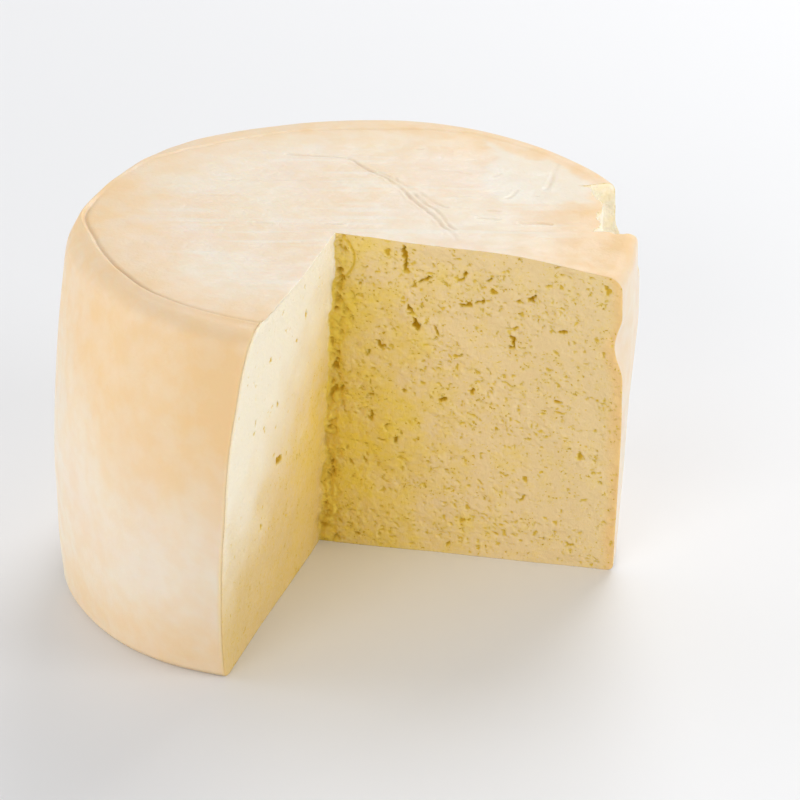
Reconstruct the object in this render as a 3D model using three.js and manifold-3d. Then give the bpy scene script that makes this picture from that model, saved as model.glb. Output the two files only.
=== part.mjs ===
// A ripened cheese wheel with one quarter cut out: a tall, slightly leaning drum with a bulging side,
// a thin raised crease round the top, a soft bevel outside it, and one place where the rim broke away.
// Millimetres, +Z up, resting on z = 0. The quarter opening lies between the +X and -Y directions.
// Headings are degrees from +X, turning towards +Y.

import * as THREE from "three";
import { mergeVertices } from "three/addons/utils/BufferGeometryUtils.js";
import Module from "manifold-3d";

const wasm = await Module();
wasm.setup();

const { clamp, degToRad, lerp, radToDeg, smoothstep } = THREE.MathUtils;

// ---------------------------------------------------------------- driving dimensions (mm, degrees)

const wheelHeight = 144;          // base to the middle of the top
const baseEdgeRound = 2.5;        // rounding between base and side
const base = { radius: 110, change: 2, fullestAt: -130 };

// The rim by heading: radius of the raised crease, then width and drop of the bevel outside it.
const rim = [
  { heading: -180, crease: 104, width: 7, drop: 9 },
  { heading: -150, crease: 105, width: 9, drop: 6 },
  { heading: -95, crease: 105, width: 8, drop: 4 },
  { heading: -10, crease: 101.5, width: 7, drop: 4 },
  { heading: 15, crease: 100, width: 5.5, drop: 2 },
  { heading: 60, crease: 98, width: 7, drop: 1.5 },
  { heading: 105, crease: 97, width: 8, drop: 1.5 },
  { heading: 150, crease: 101, width: 5, drop: 7 },
  { heading: 180, crease: 104, width: 7, drop: 9 },
];
const creaseLip = { width: 3, rise: 0.8 };

const settleDirection = 17;       // the side the soft wheel leans and sinks towards
const lean = 13;                  // how far the top's centre has moved that way over the base's
const topFall = 0.046;            // slope of the top, lower on the side it leans to
const sideBulge = { mean: 3.5, forward: 4.5, oval: 2.5, fullestAt: -95 };
const cornerSag = { depth: 4.5, from: 62, at: -14, halfAngle: 24 };
const pinch = { depth: 4, height: 115, halfHeight: 13, at: -8, halfAngle: 14 };

const cutTop = { x: 6.7, y: -14.6 };       // where the two cuts meet on the top, from the base's centre
const cutBase = { x: -12.4, y: 6.6 };      // where they meet on the base
const leftCutBow = 3.8;                    // how far the cut that faces +X is hollowed, at the rim
const chip = { from: 9, to: 39, radius: 92, depth: 21, floorSlope: 0.4 };

// The upright drum that is settled into the wheel's shape: its side's and its crease's radius.
const plain = { side: 112, crease: 105 };
const turnSteps = 96;             // facets round the wheel
const sideSteps = 12;             // facets up the side

// ---------------------------------------------------------------- helpers

// The smallest turn between two headings, in degrees.
function turnBetween(a, b) {
  return Math.abs(((a - b + 540) % 360) - 180);
}

// A smooth bump: 1 at distance 0, 0 from distance 1 on.
function bump(distance) {
  return (1 - Math.min(Math.abs(distance), 1) ** 2) ** 2;
}

// Moves every vertex of a geometry with a function of its position.
function reshape(geometry, move) {
  const position = geometry.attributes.position;
  const point = new THREE.Vector3();
  for (let i = 0; i < position.count; i += 1) {
    point.fromBufferAttribute(position, i);
    move(point);
    position.setXYZ(i, point.x, point.y, point.z);
  }
  return geometry;
}

function toManifold(geometry) {
  geometry.deleteAttribute("normal");
  geometry.deleteAttribute("uv");
  const merged = mergeVertices(geometry, 1e-4);
  const mesh = new wasm.Mesh({
    numProp: 3,
    vertProperties: new Float32Array(merged.attributes.position.array),
    triVerts: new Uint32Array(merged.index.array),
  });
  return new wasm.Manifold(mesh);
}

function toGeometry(solid) {
  const mesh = solid.getMesh();
  const geometry = new THREE.BufferGeometry();
  geometry.setAttribute("position", new THREE.BufferAttribute(mesh.vertProperties, 3));
  geometry.setIndex(new THREE.BufferAttribute(mesh.triVerts, 1));
  geometry.computeVertexNormals();
  return geometry;
}

// ---------------------------------------------------------------- the wheel before it is cut

// The rim's measures at a heading, eased between the two entries on either side of it.
function rimAt(heading) {
  const next = rim.findIndex((entry, i) => i > 0 && heading <= entry.heading);
  const [low, high] = [rim[next - 1], rim[next]];
  const share = smoothstep(heading, low.heading, high.heading);
  return {
    crease: lerp(low.crease, high.crease, share),
    width: lerp(low.width, high.width, share),
    drop: lerp(low.drop, high.drop, share),
  };
}

function baseRadiusAt(heading) {
  return base.radius + base.change * Math.cos(degToRad(heading - base.fullestAt));
}

// How far the side stands out at half height, at a heading: fuller in front, and slightly oval.
function bulgeAt(heading) {
  const turn = degToRad(heading - sideBulge.fullestAt);
  return sideBulge.mean + sideBulge.forward * Math.cos(turn) + sideBulge.oval * Math.cos(2 * turn);
}

// The half section of the plain drum, from the middle of the base round to the middle of the top.
function halfSection() {
  const outline = [new THREE.Vector2(0, 0)];
  const edge = new THREE.Path();
  edge.absarc(plain.side - baseEdgeRound, baseEdgeRound, baseEdgeRound, -Math.PI / 2, 0, false);
  outline.push(...edge.getPoints(3));
  for (let i = 1; i <= sideSteps; i += 1) {
    outline.push(new THREE.Vector2(plain.side, lerp(baseEdgeRound, wheelHeight, i / sideSteps)));
  }
  const lip = creaseLip.width / 2;
  outline.push(new THREE.Vector2((plain.side + plain.crease) / 2, wheelHeight));
  outline.push(new THREE.Vector2(plain.crease + lip, wheelHeight));
  outline.push(new THREE.Vector2(plain.crease, wheelHeight + creaseLip.rise));
  outline.push(new THREE.Vector2(plain.crease - lip, wheelHeight));
  for (const share of [0.88, 0.74, 0.58, 0.3, 0]) {
    outline.push(new THREE.Vector2(plain.crease * share, wheelHeight));
  }
  return outline;
}

// Settles the plain drum into the wheel's own shape: bevelled, bulged, pinched, sagging and leaning.
function settle(point) {
  const radius = Math.hypot(point.x, point.y);
  const share = point.z / wheelHeight;
  const heading = radToDeg(Math.atan2(point.y, point.x));
  const edge = rimAt(heading);
  const outside = clamp((radius - plain.crease) / (plain.side - plain.crease), 0, 1);
  const topRadius = lerp(radius * edge.crease / plain.crease, edge.crease + edge.width, outside);
  const baseRadius = radius * baseRadiusAt(heading) / plain.side;
  let grown = lerp(baseRadius, topRadius, share) + bulgeAt(heading) * 4 * share * (1 - share);
  const nearPinch = bump(turnBetween(heading, pinch.at) / pinch.halfAngle);
  grown -= pinch.depth * nearPinch * bump((point.z - pinch.height) / pinch.halfHeight);
  if (radius > 0) {
    point.x *= grown / radius;
    point.y *= grown / radius;
  }
  const sagged = smoothstep(radius, cornerSag.from, plain.side);
  const nearCorner = bump(turnBetween(heading, cornerSag.at) / cornerSag.halfAngle);
  point.z -= edge.drop * outside ** 2 * share;
  point.z -= cornerSag.depth * sagged * nearCorner * share ** 4;
  const along = degToRad(settleDirection);
  point.z -= topFall * (point.x * Math.cos(along) + point.y * Math.sin(along)) * share;
  point.x += lean * share * Math.cos(along);
  point.y += lean * share * Math.sin(along);
}

function wholeWheel() {
  const drum = new THREE.LatheGeometry(halfSection(), turnSteps);
  drum.rotateX(Math.PI / 2);
  return toManifold(reshape(drum, settle));
}

// ---------------------------------------------------------------- what is cut and broken away

// The missing quarter: a square column whose inner edge follows the line where the two cuts meet.
function quarterCutter() {
  const reach = 2 * plain.side;
  const over = 20;
  const section = new THREE.Shape();
  section.moveTo(0, 0);
  section.lineTo(0, -reach);
  section.lineTo(reach, -reach);
  section.lineTo(reach, 0);
  section.closePath();
  const depth = wheelHeight + 2 * over;
  const column = new THREE.ExtrudeGeometry(section, { depth, steps: 16, bevelEnabled: false });
  column.translate(0, 0, -over);
  return toManifold(reshape(column, (point) => {
    const share = point.z / wheelHeight;
    const hollow = Math.max(1 - (2 * share - 1) ** 2, 0) * leftCutBow * -point.y / plain.side;
    const onLeftCut = point.x < reach / 2;
    point.x += lerp(cutBase.x, cutTop.x, share) - (onLeftCut ? hollow : 0);
    point.y += lerp(cutBase.y, cutTop.y, share);
  }));
}

// The place where a piece of the rim broke off: a sector with an uneven inner edge and a floor that
// falls outwards.
function chipCutter() {
  const steps = 10;
  const outline = [];
  for (let i = 0; i <= steps; i += 1) {
    const share = i / steps;
    const turn = degToRad(lerp(chip.to, chip.from, share));
    const radius = chip.radius + 2.5 * Math.sin(5 * share) + 1.2 * Math.sin(17 * share);
    outline.push(new THREE.Vector2(radius * Math.cos(turn), radius * Math.sin(turn)));
  }
  const outerRadius = plain.side + 20;
  for (const turn of [degToRad(chip.from), degToRad(chip.to)]) {
    outline.push(new THREE.Vector2(outerRadius * Math.cos(turn), outerRadius * Math.sin(turn)));
  }
  const depth = 2 * chip.depth;
  const bite = new THREE.ExtrudeGeometry(new THREE.Shape(outline), { depth, bevelEnabled: false });
  const along = degToRad(settleDirection);
  bite.translate(0, 0, wheelHeight - chip.depth);
  return toManifold(reshape(bite, (point) => {
    if (point.z < wheelHeight) {
      point.z -= chip.floorSlope * (Math.hypot(point.x, point.y) - chip.radius);
    }
    point.x += lean * Math.cos(along);
    point.y += lean * Math.sin(along);
  }));
}

// ---------------------------------------------------------------- the part

function cheeseWheel() {
  const solid = wholeWheel().subtract(quarterCutter()).subtract(chipCutter());
  const geometry = toGeometry(solid);
  geometry.computeBoundingBox();
  const middle = geometry.boundingBox.getCenter(new THREE.Vector3());
  geometry.translate(-middle.x, -middle.y, 0);
  const cheese = new THREE.MeshStandardMaterial({ color: 0xf1dcae, roughness: 0.6, metalness: 0 });
  const mesh = new THREE.Mesh(geometry, cheese);
  mesh.name = "cheese_wheel";
  return mesh;
}

const part = new THREE.Group();
part.add(cheeseWheel());

export default part;
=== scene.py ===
"""A ripened cheese wheel with one quarter cut out, on a pale studio floor.

The CAD wheel is the frame. The visible wheel repeats its shape with a much finer mesh: woven sheets for
the top, side and two cut faces, joined along their edges and closed by one flat base, with pores, cracks,
scratches and the crease round the rim as real relief. Lengths inside the shape functions are in
millimetres, measured from the middle of the base; headings are degrees from +X towards +Y.
"""
import math

import bmesh
import bpy
import numpy as np
from mathutils import Matrix, Vector


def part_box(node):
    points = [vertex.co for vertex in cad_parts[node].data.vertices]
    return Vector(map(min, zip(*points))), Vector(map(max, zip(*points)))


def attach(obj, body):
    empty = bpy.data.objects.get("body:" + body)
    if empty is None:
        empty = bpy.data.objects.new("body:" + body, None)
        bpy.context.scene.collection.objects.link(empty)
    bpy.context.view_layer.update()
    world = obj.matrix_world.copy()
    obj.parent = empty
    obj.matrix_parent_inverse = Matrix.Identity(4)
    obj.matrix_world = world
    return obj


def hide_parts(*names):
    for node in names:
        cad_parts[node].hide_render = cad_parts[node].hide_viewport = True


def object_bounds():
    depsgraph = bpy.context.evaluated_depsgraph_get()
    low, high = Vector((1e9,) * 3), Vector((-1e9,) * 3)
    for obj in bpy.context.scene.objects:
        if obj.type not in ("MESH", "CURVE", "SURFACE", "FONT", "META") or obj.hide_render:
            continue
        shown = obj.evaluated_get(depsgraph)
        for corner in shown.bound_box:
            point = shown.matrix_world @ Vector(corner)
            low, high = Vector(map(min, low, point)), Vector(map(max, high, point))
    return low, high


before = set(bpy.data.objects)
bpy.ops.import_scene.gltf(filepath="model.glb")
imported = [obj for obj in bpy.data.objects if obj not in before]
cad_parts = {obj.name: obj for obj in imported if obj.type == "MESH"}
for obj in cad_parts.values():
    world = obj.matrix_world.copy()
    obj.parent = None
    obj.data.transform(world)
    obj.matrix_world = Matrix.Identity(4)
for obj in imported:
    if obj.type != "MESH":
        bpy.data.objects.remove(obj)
cad_low, cad_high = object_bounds()

MM = 0.001

# ------------------------------------------------------------------ the wheel's driving dimensions (mm)

WHEEL_HEIGHT = 144.0
BASE_RADIUS, BASE_CHANGE, BASE_FULLEST = 110.5, 2.0, -130.0
SETTLE_HEADING = 17.0
LEAN = 13.0
LEAN_X = LEAN * math.cos(math.radians(SETTLE_HEADING))
LEAN_Y = LEAN * math.sin(math.radians(SETTLE_HEADING))
FOOT_ROUNDING = 2.5
TOP_FALL = 0.046
BULGE_MEAN, BULGE_FORWARD, BULGE_OVAL, BULGE_FULLEST = 3.5, 4.5, 2.5, -95.0

# The rim by heading: radius of the crease, width and drop of the bevel outside it, strength of the lip
# on the crease, and squareness of the bevel, from 1 for a flat one to 3 for a square shoulder.
RIM = np.array([
    (-180, 104.6, 6.4, 11.0, 0.1, 1.0),
    (-163, 107.8, 5.7, 9.5, 0.9, 1.2),
    (-150, 105.5, 8.5, 6.5, 1.0, 1.6),
    (-132, 105.5, 8.8, 5.5, 1.0, 1.9),
    (-118, 108.0, 8.8, 4.6, 1.0, 2.4),
    (-95, 108.4, 11.2, 3.6, 0.9, 3.0),
    (-10, 101.5, 6.8, 4.0, 0.0, 2.2),
    (15, 100.0, 5.8, 1.5, 0.0, 2.2),
    (55, 100.5, 5.8, 1.2, 0.1, 2.4),
    (80, 100.5, 6.0, 0.9, 0.25, 2.4),
    (88, 97.8, 8.8, 0.8, 0.35, 2.6),
    (105, 92.8, 13.9, 0.8, 0.35, 3.0),
    (130, 94.5, 12.6, 1.2, 0.35, 3.0),
    (147, 96.0, 12.0, 2.0, 0.3, 3.0),
    (155, 99.8, 9.2, 4.2, 0.25, 3.0),
    (164, 103.2, 6.0, 7.5, 0.15, 2.0),
    (180, 104.6, 6.4, 11.0, 0.1, 1.0),
])

SAG_DEPTH, SAG_FROM, SAG_HEADING, SAG_HALF = 4.5, 62.0, -14.0, 24.0
PINCH_DEPTH, PINCH_HEIGHT, PINCH_HALF_HEIGHT, PINCH_HEADING, PINCH_HALF = 3.2, 112.0, 16.0, -8.0, 12.0
SWELL_DEPTH, SWELL_HEIGHT, SWELL_HALF_HEIGHT, SWELL_HEADING, SWELL_HALF = 3.0, 108.0, 45.0, 22.0, 26.0

CUT_TOP = np.array([6.7, -14.6])
CUT_BASE = np.array([-12.4, 6.6])
LEFT_CUT_HOLLOW = 2.1

CHIP_FROM, CHIP_TO, CHIP_RADIUS, CHIP_DEPTH, CHIP_FLOOR_SLOPE = 9.0, 39.0, 92.0, 21.0, 0.4

# Mesh spacing: rows of points from the inner corner to the rim, up the side and over the bevel, and
# columns of points round the wheel.
COARSE = 1
ROWS_OUT = 210 // COARSE
ROWS_UP = 280 // COARSE
ROWS_BEVEL = 16 // COARSE
COLUMNS = 640 // COARSE


# ------------------------------------------------------------------ small mathematical helpers

def smoothstep(x, low, high):
    t = np.clip((x - low) / (high - low), 0.0, 1.0)
    return t * t * (3 - 2 * t)


def bump(distance):
    """A smooth bump: 1 at distance 0, 0 from distance 1 on."""
    return (1 - np.minimum(np.abs(distance), 1.0) ** 2) ** 2


def turn_between(a, b):
    """The smallest turn between two headings, in degrees."""
    return np.abs((a - b + 540.0) % 360.0 - 180.0)


def mix(a, b, share):
    return a + (b - a) * share


def lattice(ix, iy, iz, seed):
    """A repeatable number from -1 to 1 for each point of a whole-number lattice."""
    h = (ix * 374761393 + iy * 668265263 + iz * 1442695041 + seed * 974634777) & 0xFFFFFFFF
    h = ((h ^ (h >> 13)) * 1274126177) & 0xFFFFFFFF
    h = ((h ^ (h >> 16)) * 2246822519) & 0xFFFFFFFF
    return (h ^ (h >> 15)) / 2147483648.0 - 1.0


def noise(points, size, seed, octaves=1):
    """Smooth noise from about -1 to 1 whose lumps are size across; each octave halves size and height."""
    total, height = np.zeros(len(points)), 1.0
    for octave in range(octaves):
        p = points / size + 100.0
        cell = np.floor(p).astype(np.int64)
        t = p - cell
        t = t * t * t * (t * (t * 6 - 15) + 10)
        value = np.zeros(len(points))
        for corner in range(8):
            step = [(corner >> axis) & 1 for axis in range(3)]
            weight = np.ones(len(points))
            for axis in range(3):
                weight = weight * (t[:, axis] if step[axis] else 1 - t[:, axis])
            value += weight * lattice(*(cell[:, axis] + step[axis] for axis in range(3)), seed + octave)
        total += value * height
        size, height = size / 2, height / 2
    return total


# ------------------------------------------------------------------ the wheel's shape

def rim_at(heading):
    """The rim's crease radius, bevel width, drop, lip and squareness, eased between the entries."""
    heading = (heading + 180.0) % 360.0 - 180.0
    after = np.clip(np.searchsorted(RIM[:, 0], heading, side="right"), 1, len(RIM) - 1)
    low, high = RIM[after - 1], RIM[after]
    share = smoothstep(heading, low[..., 0], high[..., 0])
    return [mix(low[..., i], high[..., i], share) for i in range(1, 6)]


def base_radius_at(heading):
    return BASE_RADIUS + BASE_CHANGE * np.cos(np.radians(heading - BASE_FULLEST))


def side_radius_at(heading, share):
    """Radius of the side at each heading, at a share of the height."""
    crease, width = rim_at(heading)[:2]
    turn = np.radians(heading - BULGE_FULLEST)
    bulge = BULGE_MEAN + BULGE_FORWARD * np.cos(turn) + BULGE_OVAL * np.cos(2 * turn)
    height = share * WHEEL_HEIGHT
    radius = mix(base_radius_at(heading), crease + width, share) + bulge * 4 * share * (1 - share)
    near = bump(turn_between(heading, PINCH_HEADING) / PINCH_HALF)
    radius = radius - PINCH_DEPTH * near * bump((height - PINCH_HEIGHT) / PINCH_HALF_HEIGHT)
    near = bump(turn_between(heading, SWELL_HEADING) / SWELL_HALF)
    return radius + SWELL_DEPTH * near * bump((height - SWELL_HEIGHT) / SWELL_HALF_HEIGHT)


def settled(heading, radius, height):
    """The place of a point of the upright drum once the wheel has sagged, sunk and leant to one side."""
    share = height / WHEEL_HEIGHT
    turn, along = np.radians(heading), math.radians(SETTLE_HEADING)
    x, y = radius * np.cos(turn), radius * np.sin(turn)
    sagged = smoothstep(radius, SAG_FROM, 112.0) * bump(turn_between(heading, SAG_HEADING) / SAG_HALF)
    z = height - SAG_DEPTH * sagged * share ** 4
    z = z - TOP_FALL * (x * math.cos(along) + y * math.sin(along)) * share
    return np.stack(np.broadcast_arrays(x + LEAN_X * share, y + LEAN_Y * share, z), axis=-1)


def cut_line(z):
    """Where the two cuts meet, at each height."""
    share = (z / WHEEL_HEIGHT)[..., None]
    return mix(CUT_BASE, CUT_TOP, share)


def off_right_cut(p):
    """How far each point is behind the cut face that looks along -Y."""
    return p[..., 1] - cut_line(p[..., 2])[..., 1]


def off_left_cut(p):
    """How far each point is behind the slightly hollow cut face that looks along +X."""
    share = np.clip(p[..., 2] / WHEEL_HEIGHT, 0, 1)
    hollow = 4 * share * (1 - share) * LEFT_CUT_HOLLOW * -p[..., 1] / 112.0
    return cut_line(p[..., 2])[..., 0] - hollow - p[..., 0]


def ring(radius_at, height_at):
    """Points round the wheel from the right cut to the left cut. Both arguments are functions of heading."""
    def place(heading):
        return settled(heading, radius_at(heading), height_at(heading))

    ends = []
    for off, inside, outside in ((off_right_cut, 30.0, -50.0), (off_left_cut, 230.0, 300.0)):
        for _ in range(40):
            middle = (inside + outside) / 2
            if off(place(np.array([middle])))[0] > 0:
                inside = middle
            else:
                outside = middle
        ends.append(inside)
    return place(np.linspace(ends[0], ends[1], COLUMNS + 1))


# Across the crease: distance outside it, and height of the lip and the groove there at full strength.
CREASE_PROFILE = [
    (-3.4, 0.0), (-2.6, -0.06), (-2.0, -0.25), (-1.5, -0.5), (-1.1, -0.55), (-0.7, -0.2),
    (-0.3, 0.4), (0.1, 0.7), (0.6, 0.75), (1.1, 0.55), (1.7, 0.3), (2.4, 0.1),
]


# How far outside the crease its lip is highest, and how widely and how often the shoulder is smoothed.
LIP_TOP = 0.6
SOFTENED_ROWS = 12 // COARSE
SOFTENING_PASSES = 16 // COARSE ** 2


def bevel_height(heading, outside):
    """Height of the bevel at a distance outside the crease."""
    width, drop, squareness = (rim_at(heading)[i] for i in (1, 2, 4))
    return WHEEL_HEIGHT - drop * (np.maximum(outside - LIP_TOP, 0) / (width - LIP_TOP)) ** squareness


def wobble(heading):
    """The crease isn't a true circle: how far it strays in or out at each heading."""
    turn = np.radians(heading)
    circle = np.stack([60 * np.cos(turn), 60 * np.sin(turn), 0 * turn], axis=-1)
    return (0.2 + 0.5 * rim_at(heading)[3]) * noise(circle, 16.0, 11, 2)


def rings():
    """Every ring from the rounded foot of the side up over the bevel and the crease."""
    made = []
    for i in range(4):
        turn = math.pi / 2 * i / 4
        inwards, height = FOOT_ROUNDING * (1 - math.sin(turn)), FOOT_ROUNDING * (1 - math.cos(turn))
        made.append(ring(lambda h: side_radius_at(h, 0.0) - inwards, lambda h: height + 0 * h))
    for i in range(ROWS_UP):
        share = mix(FOOT_ROUNDING / WHEEL_HEIGHT, 1.0, i / ROWS_UP)
        made.append(ring(
            lambda h: side_radius_at(h, share),
            lambda h: share * (WHEEL_HEIGHT - rim_at(h)[2]),
        ))
    outer = CREASE_PROFILE[-1][0]
    for i in range(ROWS_BEVEL):
        share = 1 - i / ROWS_BEVEL
        made.append(ring(
            lambda h: rim_at(h)[0] + mix(outer, rim_at(h)[1], share) + wobble(h) * (1 - share),
            lambda h: bevel_height(h, mix(outer, rim_at(h)[1], share)),
        ))
    for outside, lift in reversed(CREASE_PROFILE):
        made.append(ring(
            lambda h: rim_at(h)[0] + outside + wobble(h),
            lambda h: bevel_height(h, outside) + 0.95 * lift * rim_at(h)[3] * (1 + 0.35 * wobble(h)),
        ))
    made = np.array(made)
    shoulder = len(made) - len(CREASE_PROFILE) - ROWS_BEVEL
    soften = 0.8 * bump((np.arange(1, len(made) - 1) - shoulder) / SOFTENED_ROWS)[:, None, None]
    for _ in range(SOFTENING_PASSES):
        made[1:-1] += soften * ((made[:-2] + made[2:]) / 2 - made[1:-1])
    return made


def top_height(x, y):
    """Height of the wheel's top at each place on it."""
    along = math.radians(SETTLE_HEADING)
    x, y = x - LEAN_X, y - LEAN_Y
    heading = np.degrees(np.arctan2(y, x))
    near = bump(turn_between(heading, SAG_HEADING) / SAG_HALF)
    sag = SAG_DEPTH * smoothstep(np.hypot(x, y), SAG_FROM, 112.0) * near
    return WHEEL_HEIGHT - sag - TOP_FALL * (x * math.cos(along) + y * math.sin(along))


def cut_corner(z):
    """Points down the inner corner of the notch."""
    line = cut_line(z)
    return np.stack([line[..., 0], line[..., 1], z], axis=-1)


def stretched_between(inner, outer, bottom, top):
    """A sheet filling four edges. The inner and outer edges run upwards, the other two outwards."""
    across = np.linspace(0, 1, len(bottom))[:, None, None]
    up = np.linspace(0, 1, len(inner))[None, :, None]
    sides = mix(inner[None], outer[None], across)
    ends = mix(bottom[:, None], top[:, None], up)
    corners = mix(mix(inner[0], outer[0], across), mix(inner[-1], outer[-1], across), up)
    return sides + ends - corners


# ------------------------------------------------------------------ relief

def pores(u, v, spacing, sizes, stretch, steepness, seed, share):
    """Depth of scattered pits at points (u, v). Each square of a grid holds a pit or none."""
    found = np.zeros_like(u)
    for step in range(9):
        a = np.floor(u / spacing).astype(np.int64) + step % 3 - 1
        b = np.floor(v / spacing).astype(np.int64) + step // 3 - 1
        chance = [0.5 + 0.5 * lattice(a, b, n + 0 * a, seed) for n in range(6)]
        x = u - (a + 0.2 + 0.6 * chance[0]) * spacing
        y = v - (b + 0.2 + 0.6 * chance[1]) * spacing
        turn = chance[2] * math.pi
        width = mix(sizes[0], sizes[1], chance[3] ** 2)
        length = width * mix(1.0, stretch, chance[4])
        along, across = x * np.cos(turn) + y * np.sin(turn), y * np.cos(turn) - x * np.sin(turn)
        distance = np.hypot(along / length, across / width)
        depth = width * steepness * (1 - smoothstep(distance, 0.45, 1.0))
        found = np.maximum(found, np.where(chance[5] < share, depth, 0.0))
    return found


def holes(u, v, chosen):
    """Depth of the single holes and cracks: (u, v, half length, half width, turn, depth) each."""
    found = np.zeros_like(u)
    for at_u, at_v, length, width, turn, depth in chosen:
        turn = math.radians(turn)
        x, y = u - at_u, v - at_v
        along, across = x * math.cos(turn) + y * math.sin(turn), y * math.cos(turn) - x * math.sin(turn)
        distance = np.hypot(along / length, across / width)
        found = np.maximum(found, depth * (1 - smoothstep(distance, 0.5, 1.05)))
    return found


# The larger holes and cracks of the right cut face, by distance from the inner corner and height.
RIGHT_HOLES = [
    (28.6, 135.5, 7.4, 0.85, 97, 2.6),
    (21.5, 138.5, 1.6, 0.8, 80, 1.2),
    (37.6, 127.6, 3.6, 0.8, 38, 2.0),
    (33.0, 124.5, 1.8, 0.6, 20, 1.2),
    (34.4, 106.8, 3.4, 1.35, 106, 3.4),
    (32.0, 112.6, 3.2, 0.8, 125, 2.6),
    (43.0, 104.0, 2.8, 0.75, 112, 1.8),
    (20.6, 96.0, 3.0, 0.8, 118, 2.0),
    (22.5, 95.5, 1.8, 0.6, 170, 1.4),
    (16.5, 91.0, 2.0, 0.7, 50, 1.3),
    (47.0, 73.0, 1.8, 1.3, 20, 2.4),
    (52.3, 131.0, 1.9, 0.9, 100, 2.0),
    (51.0, 128.5, 2.6, 0.6, 20, 1.4),
    (53.4, 117.7, 2.9, 0.7, 2, 2.0),
    (59.6, 118.8, 2.6, 0.8, 12, 2.2),
    (61.7, 129.7, 1.3, 0.9, 20, 1.4),
    (64.5, 124.0, 1.6, 0.9, 150, 1.4),
    (72.7, 103.6, 2.8, 1.0, 100, 2.6),
    (73.4, 99.6, 1.6, 1.2, 70, 2.4),
    (75.0, 120.7, 1.8, 0.7, 12, 1.6),
    (79.6, 122.8, 2.4, 0.7, 42, 2.4),
    (93.0, 109.5, 2.2, 0.8, 14, 2.2),
    (58.7, 78.0, 2.0, 0.9, 92, 1.8),
    (92.7, 77.1, 1.3, 0.9, 0, 1.6),
    (20.0, 62.0, 3.4, 0.8, 84, 1.8),
    (30.0, 52.0, 2.2, 1.0, 30, 1.8),
]

# The few pores of the smoother left cut face.
LEFT_HOLES = [
    (58.5, 70.8, 4.4, 2.0, 15, 3.6),
    (65.0, 76.0, 1.8, 1.0, 0, 1.6),
    (31.0, 123.0, 2.4, 1.3, 70, 1.9),
    (40.7, 116.3, 2.2, 1.1, 30, 1.6),
    (72.2, 122.0, 2.2, 1.1, 20, 1.3),
    (61.0, 97.0, 2.2, 1.2, 50, 1.7),
    (67.0, 99.0, 1.4, 0.8, 20, 1.1),
    (86.0, 100.7, 1.9, 0.9, 80, 1.3),
    (75.2, 92.3, 1.8, 0.9, 70, 1.2),
    (36.0, 60.0, 1.9, 0.9, 60, 1.4),
    (79.0, 50.0, 1.8, 0.9, 30, 1.3),
    (48.0, 38.0, 1.6, 0.8, 30, 1.2),
]

TORN_WIDTH = 6.0
MARGIN_WIDTH = 6.0


def right_cut_relief(t, z, outside, below_top):
    """(height of the relief, depth of the pits alone, how torn it is) on the right cut face.

    t is the distance from the inner corner, outside the distance in from the rind and below_top
    the distance down from the top.
    """
    here = np.stack([t, 0 * t, z], axis=-1)
    smeared = noise(here, 13.0, 21, 2)
    ragged_u, ragged_v = t + 0.9 * noise(here, 2.2, 22, 2), z + 0.9 * noise(here, 2.2, 23, 2)
    porous = smoothstep(smeared, -0.5, 0.7)
    firm = smoothstep(np.minimum(outside, below_top), 1.0, 9.0)
    lumps = 0.3 * noise(here, 9.0, 24) + (0.1 + 0.25 * porous) * noise(here, 3.0, 25, 2)

    small_share, middling_share = (0.17 + 0.55 * porous) * (0.3 + 0.7 * firm), (0.1 + 0.3 * porous) * firm
    small = pores(ragged_u, ragged_v, 2.2, (0.35, 0.75), 2.0, 1.1, 26, small_share)
    middling = pores(ragged_u, ragged_v, 7.0, (0.5, 1.1), 3.2, 1.2, 27, middling_share)
    pits = np.maximum(small, middling)
    pits = np.maximum(pits, holes(ragged_u, ragged_v, RIGHT_HOLES))

    edge = TORN_WIDTH + 2.4 * noise(here * (0, 0, 1), 15.0, 28, 2) + 1.2 * noise(here, 3.0, 29)
    torn = 1 - smoothstep(t, edge - 0.9, edge + 0.9)
    crumbs = 0.7 * noise(here * (1, 1, 0.6), 3.6, 30, 3) + 0.6 * noise(here, 1.8, 31, 2)
    cracks = torn * 1.5 * smoothstep(-crumbs, 0.15, 0.95)
    flake = np.abs(np.hypot(t - 0.5, (z - 133.0) * 0.85) - 8.0) * (t > 1.0)
    flake = 0.7 * (1 - smoothstep(flake, 0.2, 0.8)) * smoothstep(below_top, 1.0, 4.0)
    pits = np.maximum(pits, np.maximum(cracks, flake))

    away = smoothstep(t, 0.0, 2.0) * smoothstep(outside, 0.0, 1.6)
    away = away * smoothstep(below_top, 0.0, 1.4) * smoothstep(z, 0.0, 1.5)
    pits = pits * away
    return (lumps + torn * (0.7 * crumbs - 0.5)) * (0.25 + 0.75 * away) - pits, pits, torn


def edge_rounding(distance):
    """How far the rounded outer edge of the left cut lies inside a sharp one."""
    return 0.9 * np.maximum(1 - distance / 3.0, 0) ** 2


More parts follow.
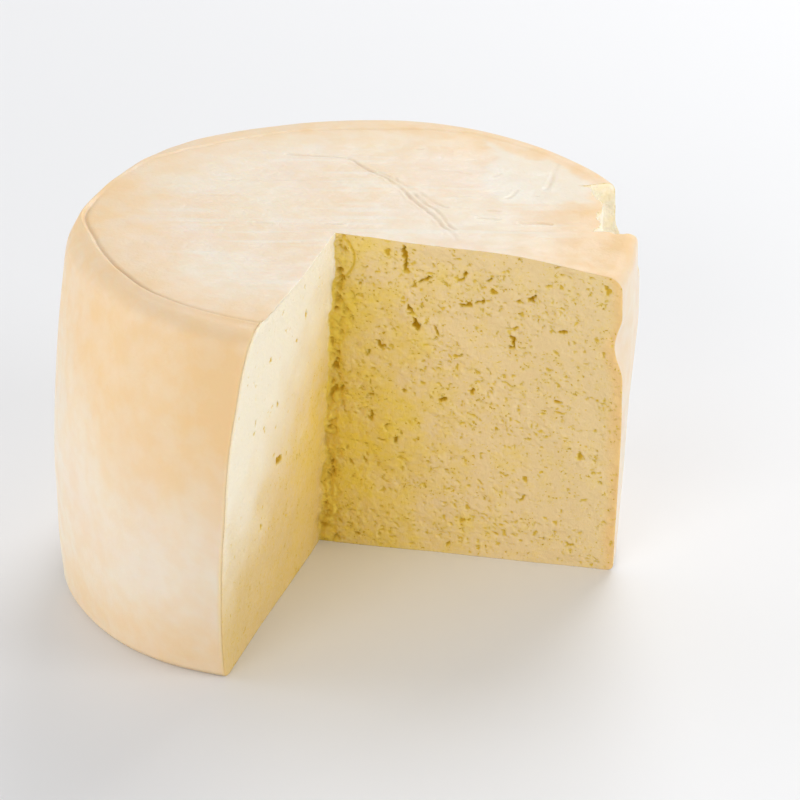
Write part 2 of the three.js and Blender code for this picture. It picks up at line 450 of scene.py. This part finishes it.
def left_cut_relief(t, z, outside, below_top):
    """As the right cut face's relief, on the left one, which the knife left smoother."""
    here = np.stack([0 * t, t, z], axis=-1)
    drag = noise(here * (1, 1, 0.12), 2.2, 41, 2)
    ragged_u, ragged_v = t + 0.7 * noise(here, 2.4, 42, 2), z + 0.7 * noise(here, 2.4, 43, 2)
    pits = pores(ragged_u, ragged_v, 5.0, (0.35, 0.7), 1.8, 1.1, 44, 0.22)
    pits = np.maximum(pits, holes(ragged_u, ragged_v, LEFT_HOLES))
    edge = 2.2 + 1.6 * noise(here * (0, 0, 1), 9.0, 45, 3)
    torn = 1 - smoothstep(t, edge - 1.0, edge + 1.0)
    away = smoothstep(t, 0.0, 2.0) * smoothstep(outside, 0.0, 4.0)
    away = away * smoothstep(below_top, 0.0, 2.0) * smoothstep(z, 0.0, 1.5)
    relief = 0.22 * noise(here, 12.0, 46, 2) + 0.05 * drag + 0.7 * torn * noise(here, 3.2, 47, 2)
    pits = pits * away
    return relief * (0.3 + 0.7 * away) - pits - edge_rounding(outside), pits, torn


# Scratches on the top, in millimetres from its middle: their route, half width and depth.
SCRATCHES = [
    (
        [(-48, 52), (-37, 55), (-25, 56), (-16, 51), (-7, 44), (6, 33), (18, 17), (29, 6), (41, -10)],
        0.7, 0.5,
    ),
    ([(-7, 46), (4, 38), (16, 29), (28, 20)], 0.6, 0.4),
    ([(1, 42), (20, 20), (27, 14), (37, -1)], 0.6, 0.4),
    ([(5, 56), (27, 57)], 0.6, 0.2),
    ([(57, 81), (60, 65), (60, 50)], 0.9, 0.35),
    ([(50, 47), (48, 37)], 0.7, 0.4),
    ([(42, 14), (51, 15)], 0.7, 0.4),
    ([(59, 15), (66, 16), (70, 16)], 0.8, 0.5),
    ([(37, 58), (38, 60)], 0.9, 0.4),
    ([(0, 74), (2, 75)], 0.8, 0.4),
    ([(45, 23), (48, 23)], 0.8, 0.4),
    ([(57, 43), (59, 43)], 0.8, 0.4),
    ([(-37, -17), (-32, -16)], 1.0, 0.25),
    ([(-12, -9), (-7, -9)], 1.0, 0.25),
    ([(-60, 20), (-20, 32)], 0.7, 0.15),
    ([(-70, 2), (-30, 14)], 0.7, 0.12),
]

# Outline of the pale, scuffed patch on the top.
PALE_PATCH = [(22, 94), (31, 77), (32, 53), (47, 30), (69, 38), (80, 42), (75, 62), (57, 80), (44, 79)]


def rounded_route(route):
    """The route with its corners rounded off, by cutting them twice."""
    route = np.array(route, float)
    for _ in range(2 if len(route) > 2 else 0):
        early, late = mix(route[:-1], route[1:], 0.25), mix(route[:-1], route[1:], 0.75)
        cut = np.stack([early, late], axis=1).reshape(-1, 2)
        route = np.concatenate([route[:1], cut[1:-1], route[-1:]])
    return route


def distance_to_route(p, route):
    """Distance in plan from each point to a line through the route's points."""
    nearest = np.full(len(p), np.inf)
    for a, b in zip(route, route[1:]):
        a, b = np.array(a, float), np.array(b, float)
        share = np.clip((p - a) @ (b - a) / ((b - a) @ (b - a)), 0, 1)
        nearest = np.minimum(nearest, np.linalg.norm(p - a - share[:, None] * (b - a), axis=1))
    return nearest


def inside_outline(p, outline):
    """Whether each point in plan lies inside the closed outline."""
    inside = np.zeros(len(p), bool)
    for (ax, ay), (bx, by) in zip(outline, outline[1:] + outline[:1]):
        crosses = (ay > p[:, 1]) != (by > p[:, 1])
        with np.errstate(divide="ignore", invalid="ignore"):
            inside ^= crosses & (p[:, 0] < ax + (p[:, 1] - ay) * (bx - ax) / (by - ay))
    return inside


def top_relief(p):
    """(height of the relief, strength of the scratches, strength of the pale patch) on the top."""
    along = math.radians(SETTLE_HEADING)
    plan = p[:, :2] - (LEAN_X, LEAN_Y)
    strayed = plan + 0.8 * np.stack([noise(p, 9.0, 61, 2), noise(p, 9.0, 62, 2)], axis=-1)
    height, marks = np.zeros(len(p)), np.zeros(len(p))
    for route, width, depth in SCRATCHES:
        away = distance_to_route(strayed, rounded_route(route))
        broken = 0.55 + 0.45 * noise(p, 6.0, 63)
        height -= depth * broken * (1 - smoothstep(away, 0, width * 1.6))
        height += 0.35 * depth * broken * bump((away - width * 2.4) / width)
        marks = np.maximum(marks, 1.5 * depth * broken * (1 - smoothstep(away, width * 0.2, width * 1.5)))
    turned = np.stack([
        plan[:, 0] * math.cos(along) + plan[:, 1] * math.sin(along),
        plan[:, 1] * math.cos(along) - plan[:, 0] * math.sin(along),
        0 * plan[:, 0],
    ], axis=-1)
    brushed = noise(turned * (0.09, 1, 1), 3.4, 64, 3)
    rim_side = np.hypot(plan[:, 0], plan[:, 1])
    height += 0.10 * brushed * (1 - smoothstep(rim_side, 70, 98))
    height += 0.05 * noise(p, 1.6, 65, 2)
    inward = np.where(inside_outline(strayed, PALE_PATCH), 1.0, -1.0)
    inward = inward * distance_to_route(strayed, PALE_PATCH + PALE_PATCH[:1])
    pale = smoothstep(inward + 1.5 * noise(p, 5.0, 66, 2), -2.0, 3.0)
    streaks = smoothstep(brushed + 0.5 * noise(p, 28.0, 67, 2), 0.15, 0.9)
    streaks = streaks * (1 - smoothstep(rim_side, 60, 95))
    return height + 0.1 * pale, np.clip(marks, 0, 1), np.maximum(0.6 * pale, 0.45 * streaks)


# ------------------------------------------------------------------ weaving the mesh

class Weave:
    """Sheets of quads, welded where their points coincide, with relief and painted values per point."""

    VALUES = ("pit", "yellow", "cream", "margin", "painted_foot_shade", "mark", "pale", "peach", "bare")

    def __init__(self):
        self.points, self.moves, self.faces, self.materials, self.values = [], [], [], [], []
        self.count = 0

    def sheet(self, grid, move, material, flip=False, **values):
        """Adds a sheet. grid is rows x columns x 3, move is how far each point is pushed."""
        rows, columns = grid.shape[:2]
        index = self.count + np.arange(rows * columns).reshape(rows, columns)
        quads = np.stack([index[:-1, :-1], index[:-1, 1:], index[1:, 1:], index[1:, :-1]], axis=-1)
        quads = quads.reshape(-1, 4)
        self.faces.append(quads[:, ::-1] if flip else quads)
        self.materials.append(np.full(len(quads), material))
        self.points.append(grid.reshape(-1, 3))
        self.moves.append(move.reshape(-1, 3))
        given = [np.broadcast_to(values.get(name, 0.0), (rows, columns)).ravel() for name in self.VALUES]
        self.values.append(np.stack(given, axis=-1))
        self.count += rows * columns

    def build(self, name, closing_loops):
        """The welded mesh. Each closing loop is a list of points that one more face is drawn through."""
        points = np.round(np.concatenate(self.points), 6)
        _, first, weld = np.unique(points, axis=0, return_index=True, return_inverse=True)
        weld = weld.ravel()
        moves = np.stack([np.bincount(weld, np.concatenate(self.moves)[:, i]) for i in range(3)], axis=-1)
        values = np.zeros((len(first), len(self.VALUES)))
        np.maximum.at(values, weld, np.concatenate(self.values))
        places = points[first] + moves
        places = places + warp(points[first])

        faces = weld[np.concatenate(self.faces)]
        polygons, materials = [], []
        for corners, material in zip(faces.tolist(), np.concatenate(self.materials).tolist()):
            loop = [c for i, c in enumerate(corners) if c != corners[i - 1]]
            if len(loop) > 2:
                polygons.append(loop)
                materials.append(material)
        lookup = {tuple(p): i for i, p in enumerate(points[first].tolist())}
        for loop in closing_loops:
            polygons.append([lookup[tuple(p)] for p in np.round(loop, 6).tolist()])
            materials.append(0)

        mesh = bpy.data.meshes.new(name)
        mesh.from_pydata((places * MM).tolist(), [], polygons)
        mesh.polygons.foreach_set("material_index", materials)
        mesh.polygons.foreach_set("use_smooth", [True] * len(polygons))
        for i, value in enumerate(self.VALUES):
            mesh.attributes.new(value, "FLOAT", "POINT").data.foreach_set("value", values[:, i])
        mesh.update()
        return mesh


def warp(p):
    """The slight unevenness of the whole wheel, which fades out at the foot so that it stands flat."""
    p = p.astype(float)
    wide = [noise(p, 55.0, 70 + axis) * 0.7 + noise(p, 19.0, 75 + axis) * 0.28 for axis in range(3)]
    wide[2] = wide[2] * smoothstep(p[:, 2], 0.0, 20.0)
    ragged = np.exp(-np.hypot(*(p[:, :2] - cut_line(p[:, 2])).T) / 3.5) * smoothstep(p[:, 2], 0.0, 6.0)
    ragged = ragged * (1 - smoothstep(p[:, 2], WHEEL_HEIGHT - 6, WHEEL_HEIGHT))
    for axis in range(2):
        wide[axis] = wide[axis] + ragged * 1.1 * noise(p * (0, 0, 1), 8.0, 80 + axis, 3)
    return np.stack(wide, axis=-1)


RIND, PASTE = 0, 1
RIGHT_FACING = np.array([0.0, -0.989, -0.146])
LEFT_FACING = np.array([0.991, 0.0, -0.131])


def cut_face(weave, outer, top, facing, relief, flip):
    """Weaves one cut face between the inner corner, the side's column of points and the top's edge."""
    corner = cut_corner(np.linspace(0.0, 1.0, len(outer)) * top[0, 2])
    corner[-1] = top[0]
    bottom = mix(corner[0], outer[0], np.linspace(0, 1, ROWS_OUT + 1)[:, None])
    grid = stretched_between(corner, outer, bottom, top)
    grid[0], grid[-1], grid[:, 0], grid[:, -1] = corner, outer, bottom, top
    t = np.linalg.norm(grid[..., :2] - cut_line(grid[..., 2]), axis=-1)
    z = grid[..., 2]
    outside = t[-1][None, :] - t
    below_top = z[:, -1:] - z
    shape = grid.shape[:2]
    height, pits, torn = relief(*(np.broadcast_to(a, shape).ravel() for a in (t, z, outside, below_top)))
    height, pits, torn = (a.reshape(shape) for a in (height, pits, torn))
    here = np.stack([t.ravel(), z.ravel(), 0 * z.ravel()], axis=-1)
    patches = noise(here, 16.0, 90, 3).reshape(shape)
    # Painted shade: yellower towards the inner corner and lower down; the patches are the paste's own tone.
    yellow = 0.95 - t / 80.0 + 0.22 * patches - 0.35 * smoothstep(z, 50, 144)
    yellow = yellow + 0.2 * torn * (1 - smoothstep(z, 115, 128))
    values = {
        "pit": np.clip(pits / 1.9, 0, 1) ** 0.8,
        "yellow": np.clip(yellow, 0, 1),
        "margin": 1 - smoothstep(outside + 1.5 * patches, 1.0, MARGIN_WIDTH + 1.0),
    }
    # Painted light: the cream share and less yellow make this face paler than the right one and paler higher
    # up.
    if facing is LEFT_FACING:
        values["cream"] = np.clip(0.44 + (t - 50) / 110.0 + (z - 80) / 60.0 + 0.12 * patches, 0, 1)
        values["yellow"] = 0.65 * values["yellow"]
        # Painted shade: darker towards the foot of the left cut face.
        values["painted_foot_shade"] = 0.55 * (1 - smoothstep(z + 8 * patches, 5, 75))
        values["margin"] = 0.5 * (1 - smoothstep(outside, 0.4, 2.4))
    move = height[..., None] * facing
    move[..., 2] *= smoothstep(z, 0.0, 5.0)
    weave.sheet(grid, move, PASTE, flip, **values)
    return bottom


def peach_on_top(p):
    """How peach-coloured the rind is at each point of the top and its rim."""
    radius = np.hypot(p[:, 0] - LEAN_X, p[:, 1] - LEAN_Y)
    warm = 0.5 * smoothstep(radius, 62, 104) + 0.3 * smoothstep(p[:, 0], 55, 110)
    return 0.12 + warm + 0.18 * noise(p, 30.0, 91, 3)


def cheese_mesh():
    weave = Weave()
    side = rings()
    apex = np.array([*CUT_TOP, 0.0])
    apex[2] = top_height(*CUT_TOP)
    out = np.linspace(0, 1, ROWS_OUT + 1)[:, None, None]
    top = mix(apex, side[-1][None], out)
    inner = top[1:-1]
    inner[..., 2] = top_height(inner[..., 0], inner[..., 1])

    flat = top.reshape(-1, 3)
    relief, marks, pale = (a.reshape(top.shape[:2]) for a in top_relief(flat))
    relief = relief * (1 - out[..., 0] ** 12)
    peach = peach_on_top(flat).reshape(top.shape[:2])
    move = relief[..., None] * np.array([0.0, 0.0, 1.0])
    move[0, 1:] = 0.0
    weave.sheet(top, move, RIND, flip=True, mark=marks, pale=pale, peach=np.clip(peach, 0, 1))

    flat = side.reshape(-1, 3)
    crease_from = len(side) - len(CREASE_PROFILE)
    from_left_cut = np.linalg.norm(side - side[:, -1:], axis=-1)
    rounding = edge_rounding(from_left_cut) * smoothstep(side[..., 2], 0.0, 5.0)
    outwards = side * (1, 1, 0) / np.linalg.norm(side * (1, 1, 0), axis=-1, keepdims=True)
    mottled = noise(flat, 42.0, 92, 3).reshape(side.shape[:2])
    heading = np.degrees(np.arctan2(side[..., 1], side[..., 0]))
    front = bump(turn_between(heading, -95) / 95)
    high, low = smoothstep(side[..., 2], 60, 120), 1 - smoothstep(side[..., 2], 0, 45)
    peach = 0.06 + 0.18 * front + (0.12 + 0.54 * front) * high + (0.08 + 0.32 * front) * low + 0.16 * mottled
    over = smoothstep(np.arange(len(side)), crease_from - 2 * ROWS_BEVEL, crease_from + 4)[:, None]
    peach = mix(peach, peach_on_top(flat).reshape(side.shape[:2]), over)
    # Painted shade: the crease's groove is painted darker as well as sunk.
    groove = np.zeros(len(side))
    groove[crease_from:] = [max(0.0, -lift / 0.55) for _, lift in reversed(CREASE_PROFILE)]
    strength = rim_at(heading)[3]
    weave.sheet(
        side, -rounding[..., None] * outwards, RIND,
        peach=np.clip(peach, 0, 1), mark=0.55 * groove[:, None] * strength,
        bare=1 - smoothstep(from_left_cut + 0.8 * mottled, 0.6, 2.4),
    )

    right_bottom = cut_face(weave, side[:, 0], top[:, 0], RIGHT_FACING, right_cut_relief, True)
    left_bottom = cut_face(weave, side[:, -1], top[:, -1], LEFT_FACING, left_cut_relief, False)
    foot = np.concatenate([right_bottom[:-1], side[0], left_bottom[-2:0:-1]])
    return weave.build("cheese_wheel_body", [foot[::-1]])


# ------------------------------------------------------------------ the broken place on the rim

# How far out and up the block goes, which is well past the wheel, and how much its ends close in.
CHIP_OUT, CHIP_ABOVE = 135.0, 165.0
CHIP_END_RISE, CHIP_NARROWING = 9.0, 0.16


def chip_mesh():
    """A lumpy block the shape of the missing piece of rim."""
    shape = bmesh.new()
    bmesh.ops.create_cube(shape, size=1.0)
    bmesh.ops.subdivide_edges(shape, edges=shape.edges[:], cuts=63 // COARSE, use_grid_fill=True)
    mesh = bpy.data.meshes.new("broken_rim")
    shape.to_mesh(mesh)
    shape.free()
    unit = np.empty(len(mesh.vertices) * 3)
    mesh.vertices.foreach_get("co", unit)
    round_share, out_share, up_share = (unit.reshape(-1, 3) + 0.5).T

    inner = CHIP_RADIUS + 2.5 * np.sin(5 * round_share) + 1.2 * np.sin(17 * round_share)
    radius = mix(inner, CHIP_OUT, out_share)
    to_end = np.abs(2 * round_share - 1)
    floor = WHEEL_HEIGHT - CHIP_DEPTH - CHIP_FLOOR_SLOPE * (radius - CHIP_RADIUS)
    floor = floor + CHIP_END_RISE * to_end ** 5
    height = mix(floor, CHIP_ABOVE, up_share)
    narrowed = (round_share - 0.5) * (1 - CHIP_NARROWING * (1 - up_share) * out_share) + 0.5
    heading = np.radians(mix(CHIP_TO, CHIP_FROM, narrowed))
    p = np.stack([radius * np.cos(heading) + LEAN_X, radius * np.sin(heading) + LEAN_Y, height], axis=-1)
    lumps = np.stack([1.5 * noise(p, 8.0, 50 + axis, 4) for axis in range(3)], axis=-1)
    mesh.vertices.foreach_set("co", ((p + lumps) * MM).ravel())
    values = {
        "yellow": 0.6 + 0.4 * noise(p, 7.0, 57, 2),
        "pit": 0.35 * noise(p, 2.6, 58, 2) - 0.2,
        # Painted light: the high cream share keeps the chip's walls pale where the notch shades them.
        "cream": 0.95 + 0.5 * noise(p, 5.0, 59, 2),
    }
    for name, value in values.items():
        mesh.attributes.new(name, "FLOAT", "POINT").data.foreach_set("value", np.clip(value, 0, 1))
    mesh.polygons.foreach_set("material_index", [PASTE] * len(mesh.polygons))
    mesh.polygons.foreach_set("use_smooth", [True] * len(mesh.polygons))
    mesh.update()
    return mesh


# ------------------------------------------------------------------ materials

class Look:
    """A node material under construction, patterned in the object's own coordinates."""

    def __init__(self, name, **settings):
        self.material = bpy.data.materials.new(name)
        self.material.use_nodes = True
        self.tree = self.material.node_tree
        self.shader = self.tree.nodes["Principled BSDF"]
        self.place = self.tree.nodes.new("ShaderNodeTexCoord").outputs["Object"]
        for key, value in settings.items():
            self.shader.inputs[key.replace("_", " ")].default_value = value

    def node(self, kind, inputs, output=0, **settings):
        node = self.tree.nodes.new("ShaderNode" + kind)
        for key, value in settings.items():
            setattr(node, key, value)
        for key, value in inputs.items():
            if isinstance(value, bpy.types.NodeSocket):
                self.tree.links.new(value, node.inputs[key])
            else:
                node.inputs[key].default_value = value
        return node.outputs[output]

    def painted(self, name):
        """One of the mesh's own values, from 0 to 1."""
        return self.node("Attribute", {}, "Fac", attribute_name=name)

    def grain(self, size, detail=3.0, stretch=(1.0, 1.0, 1.0)):
        """Noise from 0 to 1 with lumps about size millimetres across."""
        place = self.node("Mapping", {"Vector": self.place, "Scale": stretch})
        return self.node("TexNoise", {"Vector": place, "Scale": 1000.0 / size, "Detail": detail})

    def between(self, value, low, high, to_low=0.0, to_high=1.0):
        """value taken from the range low to high to the range to_low to to_high, smoothly."""
        inputs = {"Value": value, "From Min": low, "From Max": high, "To Min": to_low, "To Max": to_high}
        return self.node("MapRange", inputs, interpolation_type="SMOOTHSTEP")

    def sums(self, operation, a, b):
        return self.node("Math", {0: a, 1: b}, operation=operation)

    def blended(self, a, b, share):
        """Colour a turning to colour b by share."""
        a, b = (c if isinstance(c, bpy.types.NodeSocket) else (*c, 1.0) for c in (a, b))
        return self.node("Mix", {"Factor": share, "A": a, "B": b}, "Result", data_type="RGBA")

    def finish(self, colour, roughness, height, depth):
        """Links the colour, the roughness and a bump of the given depth in millimetres."""
        links = self.tree.links
        links.new(colour, self.shader.inputs["Base Color"])
        links.new(roughness, self.shader.inputs["Roughness"])
        bumped = self.node("Bump", {"Height": height, "Strength": 0.9, "Distance": depth * MM})
        links.new(bumped, self.shader.inputs["Normal"])
        return self.material


CREAM_RIND = (0.83, 0.75, 0.61)
PINK_RIND = (0.83, 0.68, 0.54)
PEACH_RIND = (0.83, 0.57, 0.29)
PALE_RIND = (0.81, 0.77, 0.67)
# Darker scratches, and the painted shade in the crease's groove.
SCRATCH_AND_GROOVE_SHADE_RIND = (0.56, 0.40, 0.24)

# Painted light: the pale paste colour that the cream share brings onto the left cut face and the chip.
PALE_PASTE = (0.95, 0.88, 0.72)
BEIGE_PASTE = (0.83, 0.63, 0.33)
# Painted shade for the foot of the left cut face.
FOOT_SHADE_PASTE = (0.68, 0.48, 0.16)
YELLOW_PASTE = (0.85, 0.62, 0.09)
# Colour deep in the pores: partly their own amber, partly painted shade.
PIT_PASTE = (0.62, 0.37, 0.010)
MARGIN_PASTE = (0.86, 0.58, 0.25)


def rind_material():
    """Smooth dry rind: cream to peach, fine grain, pale scuffs, darker scratches, painted shade in the
    crease.
    """
    look = Look("rind", Subsurface_Weight=0.25, Subsurface_Scale=0.004, Specular_IOR_Level=0.35)
    look.shader.inputs["Subsurface Radius"].default_value = (1.0, 0.6, 0.3)
    clouds, mottle, grain = look.grain(38, 6.0), look.grain(9, 6.0), look.grain(1.1, 4.0)
    warmth = look.sums("ADD", look.painted("peach"), look.between(mottle, 0.3, 0.7, -0.12, 0.12))
    pink = look.blended(CREAM_RIND, PINK_RIND, look.between(clouds, 0.3, 0.7, 0.1, 0.8))
    colour = look.blended(pink, PEACH_RIND, warmth)
    colour = look.blended(colour, PALE_RIND, look.painted("pale"))
    # Scratches, and painted shade in the crease's groove.
    scratched_and_groove_shaded = look.sums("MULTIPLY", look.painted("mark"), look.between(grain, 0.25, 0.6, 0.3, 0.6))
    colour = look.blended(colour, SCRATCH_AND_GROOVE_SHADE_RIND, scratched_and_groove_shaded)
    colour = look.blended(colour, BEIGE_PASTE, look.painted("bare"))
    roughness = look.between(mottle, 0.3, 0.7, 0.42, 0.6)
    height = look.sums("ADD", look.sums("MULTIPLY", mottle, 1.6), look.sums("MULTIPLY", grain, 0.35))
    return look.finish(colour, roughness, height, 0.35)


def paste_material():
    """Cut cheese paste: granular, beige to yellow, amber and painted shade in the pores, tiny pores all
    over.
    """
    look = Look("paste", Subsurface_Weight=0.12, Subsurface_Scale=0.0015, Specular_IOR_Level=0.18)
    look.shader.inputs["Subsurface Radius"].default_value = (1.0, 0.7, 0.25)
    curd, grain, fine = look.grain(6.5, 6.0), look.grain(1.7, 4.0), look.grain(0.6, 3.0)
    # Yellow share: painted shade towards the inner corner, the paste's own tone in its patches and grain.
    yellowing_and_notch_shade = look.sums("ADD", look.painted("yellow"), look.between(curd, 0.3, 0.7, -0.2, 0.2))
    yellowing_and_notch_shade = look.sums("ADD", yellowing_and_notch_shade, look.between(grain, 0.3, 0.7, -0.12, 0.12))
    colour = look.blended(BEIGE_PASTE, YELLOW_PASTE, yellowing_and_notch_shade)
    # Painted light: the cream share pales the left cut face and the chip.
    colour = look.blended(colour, PALE_PASTE, look.painted("cream"))
    # Painted shade towards the foot of the left cut face.
    colour = look.blended(colour, FOOT_SHADE_PASTE, look.painted("painted_foot_shade"))
    colour = look.blended(colour, MARGIN_PASTE, look.painted("margin"))
    # Tiny pores too small for the mesh, painted as dark specks: painted shade.
    tiny = look.between(look.grain(1.2, 2.0), 0.62, 0.72)
    specks = look.sums("MAXIMUM", tiny, look.between(look.grain(2.6, 3.0), 0.66, 0.74))
    specks = look.sums("MULTIPLY", specks, look.between(curd, 0.38, 0.6, 0.1, 0.8))
    specks = look.sums("MULTIPLY", specks, look.between(look.painted("cream"), 0.0, 0.6, 1.0, 0.2))
    # Darker and more amber with the pits' depth: partly the paste's own colour, partly painted shade.
    dark = look.sums("MAXIMUM", look.painted("pit"), specks)
    colour = look.blended(colour, YELLOW_PASTE, look.between(dark, 0.0, 0.4, 0.0, 0.85))
    colour = look.blended(colour, PIT_PASTE, look.between(dark, 0.1, 0.9, 0.0, 0.95))
    roughness = look.between(grain, 0.3, 0.7, 0.42, 0.65)
    height = look.sums("ADD", look.sums("MULTIPLY", grain, 1.0), look.sums("MULTIPLY", fine, 0.4))
    height = look.sums("SUBTRACT", height, look.sums("MULTIPLY", specks, 0.6))
    return look.finish(colour, roughness, height, 0.6)


# ------------------------------------------------------------------ the piece

def make_wheel():
    """The visible wheel: the woven mesh less the broken piece of rim, in the CAD wheel's place."""
    materials = rind_material(), paste_material()
    pieces = []
    for name, mesh in (("cheese_wheel_body", cheese_mesh()), ("broken_rim", chip_mesh())):
        for material in materials:
            mesh.materials.append(material)
        piece = bpy.data.objects.new(name, mesh)
        bpy.context.collection.objects.link(piece)
        pieces.append(piece)
    body, cutter = pieces
    cut = body.modifiers.new("broken rim", "BOOLEAN")
    cut.object, cut.operation, cut.solver = cutter, "DIFFERENCE", "MANIFOLD"
    graph = bpy.context.evaluated_depsgraph_get()
    body.data = bpy.data.meshes.new_from_object(body.evaluated_get(graph))
    body.modifiers.clear()
    bpy.data.objects.remove(cutter)
    body.data.name = body.name

    low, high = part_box("cheese_wheel")
    ends = np.empty(len(body.data.vertices) * 3)
    body.data.vertices.foreach_get("co", ends)
    ends = ends.reshape(-1, 3)
    middle = (np.array(low) + np.array(high)) / 2 - (ends.min(axis=0) + ends.max(axis=0)) / 2
    body.data.transform(Matrix.Translation((middle[0], middle[1], 0.0)))

    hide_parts("cheese_wheel")
    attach(body, "root")


# ------------------------------------------------------------------ studio

VIEW_AZIMUTH, VIEW_DOWN, VIEW_ROLL = 17.2, 25.4066, -2.0
LENS, SENSOR = 180.0, 36.0
VIEW_DISTANCE = 1.5425
TOP_MIDDLE = Vector((0.0079, 0.0088, 0.144))
AIM_RIGHT, AIM_UP = 0.01246, -0.07029


def make_camera():
    """The photograph's view: from the front, turned a little to the wheel's right, looking down."""
    turn, down = math.radians(VIEW_AZIMUTH), math.radians(VIEW_DOWN)
    right = Vector((math.cos(turn), math.sin(turn), 0.0))
    forward = Vector((-math.sin(turn) * math.cos(down), math.cos(turn) * math.cos(down), -math.sin(down)))
    up = right.cross(forward)
    place = TOP_MIDDLE + right * AIM_RIGHT + up * AIM_UP - forward * VIEW_DISTANCE
    facing = Matrix((right, up, -forward)).transposed().to_4x4()
    data = bpy.data.cameras.new("camera")
    data.lens, data.sensor_width = LENS, SENSOR
    data.clip_start, data.clip_end = 0.05, 50.0
    camera = bpy.data.objects.new("camera", data)
    roll = Matrix.Rotation(math.radians(VIEW_ROLL), 4, "Z")
    camera.matrix_world = Matrix.Translation(place) @ facing @ roll
    bpy.context.collection.objects.link(camera)
    bpy.context.scene.camera = camera


def add_light(name, place, aim, size, power):
    data = bpy.data.lights.new(name, "AREA")
    data.shape, data.size, data.energy = "DISK", size, power
    light = bpy.data.objects.new(name, data)
    light.location = place
    light.rotation_euler = (Vector(aim) - Vector(place)).to_track_quat("-Z", "Y").to_euler()
    bpy.context.collection.objects.link(light)


def make_studio():
    """A white table in a white room, lit from both sides, the front, above and behind."""
    mesh = bpy.data.meshes.new("floor")
    reach = 6.0
    corners = [(-reach, -reach, 0), (reach, -reach, 0), (reach, reach, 0), (-reach, reach, 0)]
    mesh.from_pydata(corners, [], [(0, 1, 2, 3)])
    floor = bpy.data.objects.new("floor", mesh)
    floor.location.z = cad_low[2]
    look = Look("white table", Specular_IOR_Level=0.3)
    look.shader.inputs["Base Color"].default_value = (0.79, 0.795, 0.81, 1.0)
    look.shader.inputs["Roughness"].default_value = 0.45
    mesh.materials.append(look.material)
    bpy.context.collection.objects.link(floor)

    middle = (0.0, 0.0, 0.07)
    add_light("right softbox", (1.7, -0.24, 0.55), middle, 0.85, 11.5)
    add_light("left softbox", (-1.6, -0.3, 0.4), middle, 1.0, 8.5)
    add_light("front softbox", (-0.3, -2.0, 0.9), middle, 1.4, 14.2)
    add_light("far table light", (0.2, 1.9, 1.3), (0.1, 0.8, 0.0), 1.6, 19.5)
    add_light("overhead light", (0.1, 1.2, 1.5), (0.0, 0.3, 0.0), 1.0, 5.2)

    world = bpy.data.worlds.new("white room")
    world.use_nodes = True
    world.node_tree.nodes["Background"].inputs["Color"].default_value = (1.0, 1.0, 1.0, 1.0)
    world.node_tree.nodes["Background"].inputs["Strength"].default_value = 0.5
    bpy.context.scene.world = world
    bpy.context.scene.view_settings.view_transform = "Standard"


make_camera()
make_studio()
make_wheel()
